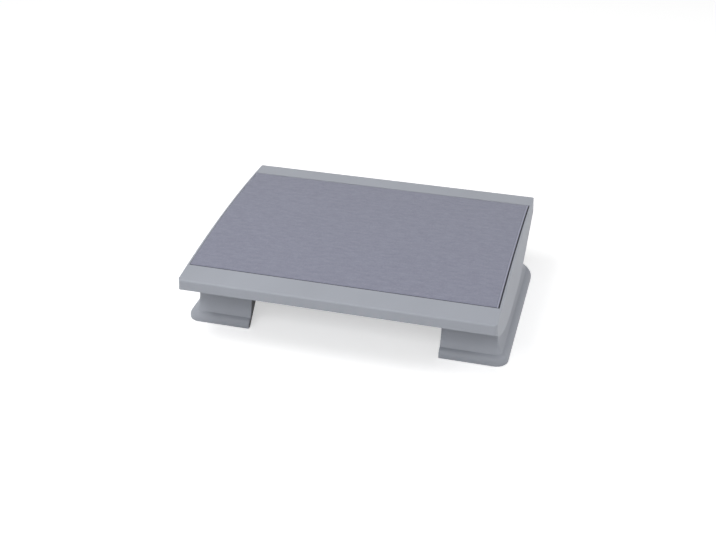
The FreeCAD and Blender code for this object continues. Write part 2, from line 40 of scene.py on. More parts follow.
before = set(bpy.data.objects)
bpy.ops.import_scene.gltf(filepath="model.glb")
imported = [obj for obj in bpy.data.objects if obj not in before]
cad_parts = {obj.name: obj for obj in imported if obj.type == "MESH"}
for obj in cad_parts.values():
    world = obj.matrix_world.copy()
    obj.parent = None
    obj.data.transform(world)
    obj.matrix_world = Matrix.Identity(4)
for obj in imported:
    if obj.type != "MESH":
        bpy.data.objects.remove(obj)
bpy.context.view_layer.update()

MM = 0.001
SIDES = ("left", "right")

# Each lamp's place and size; its strength is the stage's setting of the same name
LAMPS = {
    "key": ((-0.9, -0.3, 1.9), (1.2, 1.0)),
    "side": ((2.1, 0.2, 1.7), (1.4, 1.4)),
    "front": ((-0.2, -1.9, 1.6), (1.8, 0.5)),
}
LAMPS_LOOK_AT = (0, 0, 0.08)

# The carpet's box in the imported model
MAT_LOW, MAT_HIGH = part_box("carpet_mat")


def linear(hex_colour):
    """The linear colour of an sRGB hex value."""
    channels = [int(hex_colour[i:i + 2], 16) / 255 for i in (1, 3, 5)]
    return [c / 12.92 if c <= 0.04045 else ((c + 0.055) / 1.055) ** 2.4 for c in channels]


def colour_property(name, hex_colour, description):
    return FloatVectorProperty(name=name, description=description, subtype="COLOR",
                               size=3, min=0, max=1, default=linear(hex_colour))


def length_property(name, millimetres, description):
    return FloatProperty(name=name, description=description, subtype="DISTANCE",
                         unit="LENGTH", min=0, default=millimetres * MM, precision=5)


def power_property(name, watts, description):
    return FloatProperty(name=name, description=description, unit="POWER", min=0, default=watts)


def share_property(name, share, description):
    return FloatProperty(name=name, description=description, subtype="FACTOR",
                         min=0, max=1, default=share)


class FootrestFinish(bpy.types.PropertyGroup):
    """Colours of the moulded, metal and rubber pieces."""

    moulding: colour_property("Mouldings", "#A6AAB3", "Grey of the platform and the feet")
    bracket: colour_property("Brackets", "#26272B", "Black of the pivot brackets and bearing caps")
    rubber: colour_property("Rubber", "#232325", "Rubber of the pads and tilt stops")
    bearing: colour_property("Bearings", "#E4E1D8", "Natural acetal of the bushes and washers")
    zinc: colour_property("Zinc plate", "#C6C8C6", "Plating of the axle and the screws")
    spring: colour_property("Spring steel", "#6A6B6E", "Oiled steel of the springs, clips and pins")
    foam: colour_property("Foam", "#2C2D31", "Closed cell foam under the carpet")
    edge_radius: length_property("Edge radius", 0.6, "Radius that light catches on a moulded edge")
    grain: length_property("Grain", 0.9, "Size of the spark texture's grain")


class FootrestCarpet(bpy.types.PropertyGroup):
    """Sizes and colours of the carpet inlay."""

    yarn: colour_property("Yarn", "#989AAB", "Main colour of the pile")
    dark_yarn: colour_property("Dark yarn", "#868899", "Darker fibres of the heather mix")
    # Colour of the painted shade of the gap along the carpet's front and right edges
    gap_shade: colour_property("Painted gap shade", "#4B4B56", "Colour painted along the front and right edges as the shade of the gap")
    thickness: length_property("Thickness", 2.0, "From the foam to the tips of the pile")
    step: length_property("Step", 1.8, "Distance between the points of the pile's surface")
    tuft: length_property("Tuft", 3.2, "Size of one tuft of the pile")
    tuft_height: length_property("Tuft height", 0.35, "How far tufts stand up and sink in")
    edge: length_property("Edge", 1.9, "How far in from its edge the pile rounds down")
    slide: length_property("Slide", 0.6, "How far the carpet lies to the left and the back")
    # Width of the band of painted shade of the gap along the front and right edges
    seam: length_property("Seam", 1.1, "Width of the painted gap shade in front and on the right")
    highlight_width: length_property("Highlight width", 2.9, "Width of the painted highlight along the right edge, where the painted shade line begins")
    seed: IntProperty(name="Seed", description="Seed of the tufts", default=7)


class FootrestScrews(bpy.types.PropertyGroup):
    """Sizes of the thread forming screws."""

    radius: length_property("Radius", 2.0, "Outer radius of the thread")
    pitch: length_property("Pitch", 1.4, "Distance between the turns of the thread")
    thread: share_property("Thread depth", 0.24, "Depth of the thread as a share of the radius")
    cap_head_radius: length_property("Cap screw head radius", 3.8,
                                     "Radius of a bearing cap screw's head")
    cap_head_height: length_property("Cap screw head", 2.57,
                                     "Height of a bearing cap screw's head")
    bracket_head_radius: length_property("Bracket screw head radius", 4.0,
                                         "Radius of a bracket screw's head")
    bracket_head_height: length_property("Bracket screw head", 2.4,
                                         "Height of a bracket screw's head")


class FootrestStage(bpy.types.PropertyGroup):
    """Camera, light and floor."""

    camera: FloatVectorProperty(name="Camera", description="Place of the camera", subtype="XYZ",
                                unit="LENGTH", size=3, default=(0.37597, -1.43946, 0.93105))
    azimuth: FloatProperty(name="Azimuth", subtype="ANGLE", default=math.radians(15.11),
                           description="Turn of the camera to the right of the front")
    elevation: FloatProperty(name="Elevation", description="Tilt of the camera below level",
                             subtype="ANGLE", default=math.radians(30.83))
    lens: FloatProperty(name="Lens", description="Focal length", default=57.69, unit="CAMERA")
    key: power_property("Key", 15, "Light from above on the left")
    side: power_property("Side", 12, "Light from above on the right")
    front: power_property("Front", 15, "Light from the front that reaches under the platform")
    ambient: share_property("Ambient", 0.3, "Strength of the room's light")
    lift: share_property("Lift", 0.52, "What the background adds to the floor")
    floor: FloatProperty(name="Floor", description="Half the width of the floor", default=1.8,
                         subtype="DISTANCE", unit="LENGTH")


def add_node(tree, kind, inputs=None, **settings):
    """Adds a node with its settings. An input is a value, an output, a node or a list of links."""
    made = tree.nodes.new(kind)
    for name, value in settings.items():
        setattr(made, name, value)
    for key, given in (inputs or {}).items():
        for value in given if isinstance(given, list) else [given]:
            # A node stands for its first output
            if isinstance(value, bpy.types.Node):
                value = value.outputs[0]
            if isinstance(value, bpy.types.NodeSocket):
                tree.links.new(value, made.inputs[key])
            else:
                made.inputs[key].default_value = value
    return made


def rgba(colour):
    return (*colour, 1.0)


def start_material(name):
    """An empty node material, its tree and the object coordinates of its piece."""
    material = bpy.data.materials.new(name)
    material.use_nodes = True
    tree = material.node_tree
    tree.nodes.clear()
    place = add_node(tree, "ShaderNodeTexCoord").outputs["Object"]
    return material, tree, place


def end_material(tree, inputs):
    """The surface shader of a material and its output."""
    shader = add_node(tree, "ShaderNodeBsdfPrincipled", inputs)
    add_node(tree, "ShaderNodeOutputMaterial", {"Surface": shader})


def shaded(colour, factor):
    return [min(1.0, channel * factor) for channel in colour]


def moulded_abs(finish):
    """ABS from a spark eroded mould: an even matt grey that scatters light softly at its edges."""
    material, tree, place = start_material("moulded_abs")
    # The melt's flow leaves broad areas a shade apart, about 90 mm across
    flow = add_node(tree, "ShaderNodeTexNoise",
                    {"Vector": place, "Scale": 1 / (90 * MM), "Detail": 2})
    tone = add_node(tree, "ShaderNodeValToRGB", {"Fac": flow})
    tone.color_ramp.elements[0].position = 0.3
    tone.color_ramp.elements[0].color = rgba(shaded(finish.moulding, 0.97))
    tone.color_ramp.elements[1].position = 0.7
    tone.color_ramp.elements[1].color = rgba(shaded(finish.moulding, 1.03))
    # Spark texture is about 0.2 mm in life, and is drawn coarser so that it shows
    grain = add_node(tree, "ShaderNodeTexNoise",
                     {"Vector": place, "Scale": 1 / finish.grain, "Detail": 3, "Roughness": 0.6})
    speck = add_node(tree, "ShaderNodeMapRange",
                     {"Value": grain, "From Min": 0.3, "From Max": 0.7,
                      "To Min": 0.97, "To Max": 1.03})
    colour = add_node(tree, "ShaderNodeMix",
                      {"Factor": 1.0, 6: tone, 7: speck},
                      data_type="RGBA", blend_type="MULTIPLY")
    rough = add_node(tree, "ShaderNodeMapRange",
                     {"Value": grain, "From Min": 0.3, "From Max": 0.7,
                      "To Min": 0.46, "To Max": 0.58})
    rounded = add_node(tree, "ShaderNodeBevel", {"Radius": finish.edge_radius}, samples=4)
    bump = add_node(tree, "ShaderNodeBump",
                    {"Strength": 0.22, "Distance": 0.12 * MM, "Height": grain,
                     "Normal": rounded})
    end_material(tree, {"Base Color": colour.outputs[2], "Roughness": rough, "IOR": 1.54,
                        "Normal": bump})
    return material


def glass_filled_nylon(finish):
    """Black nylon with chopped glass: dull black with faint grey streaks where fibres surface."""
    material, tree, place = start_material("glass_filled_nylon")
    # Fibre streaks lie along the flow, about 7 mm long and 0.8 mm across
    stretched = add_node(tree, "ShaderNodeMapping", {"Vector": place, "Scale": (1, 0.12, 1)})
    streaks = add_node(tree, "ShaderNodeTexNoise",
                       {"Vector": stretched, "Scale": 1 / (0.8 * MM), "Detail": 4})
    tone = add_node(tree, "ShaderNodeValToRGB", {"Fac": streaks})
    tone.color_ramp.elements[0].position = 0.45
    tone.color_ramp.elements[0].color = rgba(finish.bracket)
    tone.color_ramp.elements[1].position = 0.8
    tone.color_ramp.elements[1].color = rgba(shaded(finish.bracket, 2.2))
    rough = add_node(tree, "ShaderNodeMapRange",
                     {"Value": streaks, "To Min": 0.42, "To Max": 0.62})
    rounded = add_node(tree, "ShaderNodeBevel", {"Radius": finish.edge_radius}, samples=4)
    bump = add_node(tree, "ShaderNodeBump",
                    {"Strength": 0.2, "Distance": 0.1 * MM, "Height": streaks,
                     "Normal": rounded})
    end_material(tree, {"Base Color": tone, "Roughness": rough, "IOR": 1.53,
                        "Normal": bump})
    return material


def zinc_plated_steel(finish):
    """Steel with a bright zinc coat: cool silver with fine turning marks round the axle."""
    material, tree, place = start_material("zinc_plated_steel")
    # Turning marks are rings about 0.3 mm apart along the axle
    along = add_node(tree, "ShaderNodeMapping", {"Vector": place, "Scale": (1, 0.02, 0.02)})
    rings = add_node(tree, "ShaderNodeTexNoise",
                     {"Vector": along, "Scale": 1 / (0.3 * MM), "Detail": 2})
    bloom = add_node(tree, "ShaderNodeTexNoise",
                     {"Vector": place, "Scale": 1 / (4 * MM), "Detail": 3})
    tone = add_node(tree, "ShaderNodeValToRGB", {"Fac": bloom})
    tone.color_ramp.elements[0].position = 0.35
    tone.color_ramp.elements[0].color = rgba(shaded(finish.zinc, 0.86))
    tone.color_ramp.elements[1].position = 0.65
    tone.color_ramp.elements[1].color = rgba(finish.zinc)
    rough = add_node(tree, "ShaderNodeMapRange",
                     {"Value": rings, "To Min": 0.24, "To Max": 0.42})
    bump = add_node(tree, "ShaderNodeBump",
                    {"Strength": 0.15, "Distance": 0.05 * MM, "Height": rings})
    end_material(tree, {"Base Color": tone, "Metallic": 1.0, "Roughness": rough,
                        "Normal": bump})
    return material


def oiled_spring_steel(finish):
    """Hardened spring steel with an oil film: dark grey with soft smears of a brighter grey."""
    material, tree, place = start_material("oiled_spring_steel")
    # Oil smears are about 5 mm across
    smear = add_node(tree, "ShaderNodeTexNoise",
                     {"Vector": place, "Scale": 1 / (5 * MM), "Detail": 4})
    tone = add_node(tree, "ShaderNodeValToRGB", {"Fac": smear})
    tone.color_ramp.elements[0].position = 0.3
    tone.color_ramp.elements[0].color = rgba(shaded(finish.spring, 0.7))
    tone.color_ramp.elements[1].position = 0.7
    tone.color_ramp.elements[1].color = rgba(finish.spring)
    rough = add_node(tree, "ShaderNodeMapRange",
                     {"Value": smear, "To Min": 0.25, "To Max": 0.5})
    end_material(tree, {"Base Color": tone, "Metallic": 1.0, "Roughness": rough})
    return material


def natural_acetal(finish):
    """Turned acetal: a slightly translucent warm white with a waxy shine."""
    material, tree, place = start_material("natural_acetal")
    # Cloudy areas are about 6 mm across
    cloud = add_node(tree, "ShaderNodeTexNoise",
                     {"Vector": place, "Scale": 1 / (6 * MM), "Detail": 2})
    tone = add_node(tree, "ShaderNodeValToRGB", {"Fac": cloud})
    tone.color_ramp.elements[0].color = rgba(shaded(finish.bearing, 0.93))
    tone.color_ramp.elements[1].color = rgba(finish.bearing)
    end_material(tree, {"Base Color": tone, "Roughness": 0.36, "IOR": 1.48,
                        "Subsurface Weight": 0.15, "Subsurface Scale": 1 * MM})
    return material


def moulded_rubber(finish):
    """Pressed nitrile rubber: a dusty black that is greyer where it has bloomed."""
    material, tree, place = start_material("moulded_rubber")
    # Bloom lies in patches about 8 mm across, over a 0.4 mm pebble from the mould
    bloom = add_node(tree, "ShaderNodeTexNoise",
                     {"Vector": place, "Scale": 1 / (8 * MM), "Detail": 4})
    tone = add_node(tree, "ShaderNodeValToRGB", {"Fac": bloom})
    tone.color_ramp.elements[0].position = 0.35
    tone.color_ramp.elements[0].color = rgba(finish.rubber)
    tone.color_ramp.elements[1].position = 0.75
    tone.color_ramp.elements[1].color = rgba(shaded(finish.rubber, 1.9))
    pebble = add_node(tree, "ShaderNodeTexNoise", {"Vector": place, "Scale": 1 / (0.4 * MM)})
    rough = add_node(tree, "ShaderNodeMapRange",
                     {"Value": bloom, "To Min": 0.68, "To Max": 0.88})
    bump = add_node(tree, "ShaderNodeBump",
                    {"Strength": 0.3, "Distance": 0.1 * MM, "Height": pebble})
    end_material(tree, {"Base Color": tone, "Roughness": rough, "IOR": 1.52,
                        "Normal": bump})
    return material


def closed_cell_foam(finish):
    """Closed cell foam: a matt charcoal pitted by cut cells."""
    material, tree, place = start_material("closed_cell_foam")
    # Cells are about 0.7 mm across
    cells = add_node(tree, "ShaderNodeTexVoronoi", {"Vector": place, "Scale": 1 / (0.7 * MM)})
    # Painted shade: the colour is darker towards each cell's centre, where the bump sinks into a
    # pit
    tone = add_node(tree, "ShaderNodeValToRGB", {"Fac": cells.outputs["Distance"]})
    tone.color_ramp.elements[0].color = rgba(shaded(finish.foam, 0.6))
    tone.color_ramp.elements[1].position = 0.6
    tone.color_ramp.elements[1].color = rgba(shaded(finish.foam, 1.3))
    bump = add_node(tree, "ShaderNodeBump",
                    {"Strength": 0.5, "Distance": 0.2 * MM, "Height": cells.outputs["Distance"]})
    end_material(tree, {"Base Color": tone, "Roughness": 0.9, "Normal": bump})
    return material


def heather_carpet(carpet):
    """Cut pile carpet in a heather yarn: a soft violet grey, flecked, with no shine."""
    material, tree, place = start_material("heather_carpet")
    # The tufting machine leaves faint rows across the width, drawn 5 mm apart so that they show
    rows = add_node(tree, "ShaderNodeMapping", {"Vector": place, "Scale": (0.35, 1, 1)})
    streaks = add_node(tree, "ShaderNodeTexNoise",
                       {"Vector": rows, "Scale": 1 / (5 * MM), "Detail": 3, "Roughness": 0.7})
    # Two yarns are twisted together, so dark flecks are about one tuft across
    fleck = add_node(tree, "ShaderNodeTexNoise",
                     {"Vector": place, "Scale": 1 / (0.8 * carpet.tuft), "Detail": 4,
                      "Roughness": 0.7})
    mixed = add_node(tree, "ShaderNodeMath", {0: fleck, 1: streaks}, operation="ADD")
    yarn = add_node(tree, "ShaderNodeMapRange",
                    {"Value": mixed, "From Min": 0.65, "From Max": 1.35})
    colour = add_node(tree, "ShaderNodeMix",
                      {"Factor": yarn, 6: rgba(carpet.dark_yarn), 7: rgba(carpet.yarn)},
                      data_type="RGBA").outputs[2]
    # Along the right edge a band is painted lighter, a painted highlight, and a line of painted
    # shade parts it from the pile; along the right and front edges a dark band is painted for the
    # shade of the gap at the rim. A band runs full up to its start and fades out at its end.
    shade_line_end, highlight_fade_from, highlight_gain, gap_shade_fade_from = 1.6, 0.8, 1.3, 0.6
    bands = (
        # Painted shade: a dark line in the pile just inside the painted highlight
        ("from_right", carpet.highlight_width, shade_line_end * carpet.highlight_width, carpet.dark_yarn),
        # Painted highlight: the pile lighter along the right edge
        ("from_right", highlight_fade_from * carpet.highlight_width, carpet.highlight_width, shaded(carpet.yarn, highlight_gain)),
        # Painted shade of the gap: dark along the right and front edges
        ("from_right", gap_shade_fade_from * carpet.seam, carpet.seam, carpet.gap_shade),
        ("from_front", gap_shade_fade_from * carpet.seam, carpet.seam, carpet.gap_shade),
    )
    for edge, start, end, shade in bands:
        distance = add_node(tree, "ShaderNodeAttribute", attribute_name=edge).outputs["Fac"]
        share = add_node(tree, "ShaderNodeMapRange",
                         {"Value": distance, "From Min": start, "From Max": end,
                          "To Min": 1.0, "To Max": 0.0})
        colour = add_node(tree, "ShaderNodeMix", {"Factor": share, 6: colour, 7: rgba(shade)},
                          data_type="RGBA").outputs[2]
    # Single fibres are 0.05 mm, and are drawn at 0.5 mm so that they show
    fibres = add_node(tree, "ShaderNodeTexNoise",
                      {"Vector": place, "Scale": 1 / (0.5 * MM), "Detail": 4, "Roughness": 0.8})
    bump = add_node(tree, "ShaderNodeBump",
                    {"Strength": 0.6, "Distance": 0.4 * MM, "Height": fibres})
    end_material(tree, {"Base Color": colour, "Roughness": 0.95, "IOR": 1.45,
                        "Sheen Weight": 0.25, "Sheen Roughness": 0.5, "Normal": bump})
    return material


def dress(names, material):
    """Gives the named CAD pieces their finish."""
    for name in names:
        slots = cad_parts[name].data.materials
        slots.clear()
        slots.append(material)


def both(*names):
    """The left and right hand pieces of these names."""
    return [side + "_" + name for name in names for side in SIDES]


class FOOTREST_OT_mouldings(bpy.types.Operator):
    """Finish the platform and both feet in grey ABS"""

    bl_idname = "footrest.mouldings"
    bl_label = "Mouldings"

    def execute(self, context):
        dress(["deck_shell"] + both("foot_shell"), moulded_abs(context.scene.footrest_finish))
        return {"FINISHED"}


class FOOTREST_OT_brackets(bpy.types.Operator):
    """Finish the pivot brackets and bearing caps in black nylon"""

    bl_idname = "footrest.brackets"
    bl_label = "Brackets and caps"

    def execute(self, context):
        finish = context.scene.footrest_finish
        dress(both("pivot_bracket", "bearing_cap"), glass_filled_nylon(finish))
        return {"FINISHED"}


class FOOTREST_OT_axle(bpy.types.Operator):
    """Finish the axle, its pins, clips, springs, bushes and washers"""

    bl_idname = "footrest.axle"
    bl_label = "Axle and bearings"

    def execute(self, context):
        finish = context.scene.footrest_finish
        dress(["axle_rod"], zinc_plated_steel(finish))
        dress(["axle_lock_pins"] + both("axle_clip", "disc_spring"), oiled_spring_steel(finish))
        dress(both("pivot_bush", "thrust_washer"), natural_acetal(finish))
        return {"FINISHED"}


class FOOTREST_OT_rubber(bpy.types.Operator):
    """Finish the pads and tilt stops in rubber and the mat's backing in foam"""

    bl_idname = "footrest.rubber"
    bl_label = "Rubber and foam"

    def execute(self, context):
        finish = context.scene.footrest_finish
        dress(both("foot_pads", "stop_buffers"), moulded_rubber(finish))
        dress(["mat_backing"], closed_cell_foam(finish))
        return {"FINISHED"}


def start_tree(name, counts, numbers):
    """An empty geometry node tree, its named inputs, and a point's place, whole and as x, y, z."""
    tree = bpy.data.node_groups.new(name, "GeometryNodeTree")
    tree.interface.new_socket("Geometry", in_out="OUTPUT", socket_type="NodeSocketGeometry")
    for kind, names in (("NodeSocketInt", counts), ("NodeSocketFloat", numbers),
                        ("NodeSocketMaterial", ["Material"])):
        for item in names:
            tree.interface.new_socket(item, in_out="INPUT", socket_type=kind)
    given = add_node(tree, "NodeGroupInput").outputs
    place = add_node(tree, "GeometryNodeInputPosition")
    return tree, given, place, add_node(tree, "ShaderNodeSeparateXYZ", {0: place}).outputs


def end_tree(tree, given, geometry):
    """Turns the tree's geometry into one mesh with its material."""
    real = add_node(tree, "GeometryNodeRealizeInstances", {"Geometry": geometry})
    finished = add_node(tree, "GeometryNodeSetMaterial",
                        {"Geometry": real, "Material": given["Material"]})
    add_node(tree, "NodeGroupOutput", {0: finished})
    return tree


def carpet_tree():
    """The carpet: a slab bent over the arch, with two rounded edges and a tufted top."""
    tree, given, place, (x, y, z) = start_tree(
        "carpet", [], ["Width", "Depth", "Thickness", "Step", "Centre X", "Centre Y", "Arch Radius",
                       "Arch Y", "Arch Z", "Edge", "Tuft", "Tuft Height", "Seed"])
    # At the very edge the pile has lost this share of its height
    edge_drop = 0.7
    # Noise seldom passes this, so the tallest tufts end level with the rim
    tallest = 0.75
    # Noise spans about half of what it could, so doubled it gives the whole tuft height
    noise_gain = 2.0

    points = []
    for side in ("Width", "Depth"):
        steps = add_node(tree, "ShaderNodeMath", {0: given[side], 1: given["Step"]},
                         operation="DIVIDE")
        whole = add_node(tree, "ShaderNodeMath", {0: steps}, operation="ROUND")
        points.append(add_node(tree, "ShaderNodeMath", {0: whole, 1: 1.0}, operation="ADD"))
    size = add_node(tree, "ShaderNodeCombineXYZ",
                    {0: given["Width"], 1: given["Depth"], 2: given["Thickness"]})
    slab = add_node(tree, "GeometryNodeMeshCube",
                    {"Size": size, "Vertices X": points[0], "Vertices Y": points[1],
                     "Vertices Z": 3})

    # 0 at the bottom of the slab and 1 at its top
    share = add_node(tree, "ShaderNodeMath", {0: z, 1: given["Thickness"]}, operation="DIVIDE")
    level = add_node(tree, "ShaderNodeMath", {0: share, 1: 0.5}, operation="ADD")

    # The pile rounds down at the right and the front, and is pushed to the rim at the left and back
    half_width = add_node(tree, "ShaderNodeMath", {0: given["Width"], 1: 0.5}, operation="MULTIPLY")
    half_depth = add_node(tree, "ShaderNodeMath", {0: given["Depth"], 1: 0.5}, operation="MULTIPLY")
    from_right = add_node(tree, "ShaderNodeMath", {0: half_width, 1: x}, operation="SUBTRACT")
    from_front = add_node(tree, "ShaderNodeMath", {0: half_depth, 1: y}, operation="ADD")
    inward = add_node(tree, "ShaderNodeMath", {0: from_right, 1: from_front}, operation="MINIMUM")
    inward_share = add_node(tree, "ShaderNodeMath", {0: inward, 1: given["Edge"]},
                            operation="DIVIDE")
    near = add_node(tree, "ShaderNodeMath", {0: inward_share, 1: 1.0}, operation="MINIMUM")
    outside = add_node(tree, "ShaderNodeMath", {0: 1.0, 1: near}, operation="SUBTRACT")
    outside_squared = add_node(tree, "ShaderNodeMath", {0: outside, 1: outside},
                               operation="MULTIPLY")
    inside = add_node(tree, "ShaderNodeMath", {0: 1.0, 1: outside_squared}, operation="SUBTRACT")
    bulge = add_node(tree, "ShaderNodeMath", {0: inside}, operation="SQRT")
    lost = add_node(tree, "ShaderNodeMath", {0: 1.0, 1: bulge}, operation="SUBTRACT")
    most_lost = add_node(tree, "ShaderNodeMath", {0: given["Thickness"], 1: edge_drop},
                         operation="MULTIPLY")
    lowered = add_node(tree, "ShaderNodeMath", {0: lost, 1: most_lost}, operation="MULTIPLY")

    tufts_per_metre = add_node(tree, "ShaderNodeMath", {0: 1.0, 1: given["Tuft"]},
                               operation="DIVIDE")
    tufts = add_node(tree, "ShaderNodeTexNoise",
                     {"Vector": place, "W": given["Seed"], "Scale": tufts_per_metre, "Detail": 2.0},
                     noise_dimensions="4D")
    below_tallest = add_node(tree, "ShaderNodeMath", {0: tufts, 1: tallest}, operation="SUBTRACT")
    swing = add_node(tree, "ShaderNodeMath", {0: given["Tuft Height"], 1: noise_gain},
                     operation="MULTIPLY")
    raised = add_node(tree, "ShaderNodeMath", {0: below_tallest, 1: swing}, operation="MULTIPLY")
    change = add_node(tree, "ShaderNodeMath", {0: raised, 1: lowered}, operation="SUBTRACT")
    top = add_node(tree, "ShaderNodeMath", {0: level, 1: change}, operation="MULTIPLY")

    # The arch's height at each point comes from its circle
    new_x = add_node(tree, "ShaderNodeMath", {0: x, 1: given["Centre X"]}, operation="ADD")
    new_y = add_node(tree, "ShaderNodeMath", {0: y, 1: given["Centre Y"]}, operation="ADD")
    off_crown = add_node(tree, "ShaderNodeMath", {0: new_y, 1: given["Arch Y"]},
                         operation="SUBTRACT")
    radius_squared = add_node(tree, "ShaderNodeMath",
                              {0: given["Arch Radius"], 1: given["Arch Radius"]},
                              operation="MULTIPLY")
    off_squared = add_node(tree, "ShaderNodeMath", {0: off_crown, 1: off_crown},
                           operation="MULTIPLY")
    reach_squared = add_node(tree, "ShaderNodeMath", {0: radius_squared, 1: off_squared},
                             operation="SUBTRACT")
    reach = add_node(tree, "ShaderNodeMath", {0: reach_squared}, operation="SQRT")
    arch = add_node(tree, "ShaderNodeMath", {0: given["Arch Z"], 1: reach}, operation="ADD")
    above = add_node(tree, "ShaderNodeMath", {0: level, 1: given["Thickness"]},
                     operation="MULTIPLY")
    even_z = add_node(tree, "ShaderNodeMath", {0: arch, 1: above}, operation="ADD")
    new_z = add_node(tree, "ShaderNodeMath", {0: even_z, 1: top}, operation="ADD")
    bent = add_node(tree, "ShaderNodeCombineXYZ", {0: new_x, 1: new_y, 2: new_z})

    # The distances from the right and front edges place the carpet's painted shade and highlight
    # bands
    marked = slab
    for name, distance in (("from_right", from_right), ("from_front", from_front)):
        marked = add_node(tree, "GeometryNodeStoreNamedAttribute",
                          {"Geometry": marked, "Name": name, "Value": distance})
    shaped = add_node(tree, "GeometryNodeSetPosition", {"Geometry": marked, "Position": bent})
    smooth = add_node(tree, "GeometryNodeSetShadeSmooth", {"Geometry": shaped})
    return end_tree(tree, given, smooth)


def grow(name, tree, values):
    """A plain mesh object from a geometry node tree with these inputs."""
    holder = bpy.data.objects.new(name, bpy.data.meshes.new(name + "_seed"))
    bpy.context.scene.collection.objects.link(holder)
    modifier = holder.modifiers.new("Nodes", "NODES")
    modifier.node_group = tree
    sockets = {item.name: item.identifier for item in tree.interface.items_tree
               if item.item_type == "SOCKET" and item.in_out == "INPUT"}
    for key, value in values.items():
        modifier[sockets[key]] = value
    bpy.context.view_layer.update()
    evaluated = holder.evaluated_get(bpy.context.evaluated_depsgraph_get())
    mesh = bpy.data.meshes.new_from_object(evaluated)
    holder.modifiers.clear()
    if not mesh.polygons:
        raise RuntimeError(name + " came out empty")
    holder.data = mesh
    mesh.name = name
    return holder


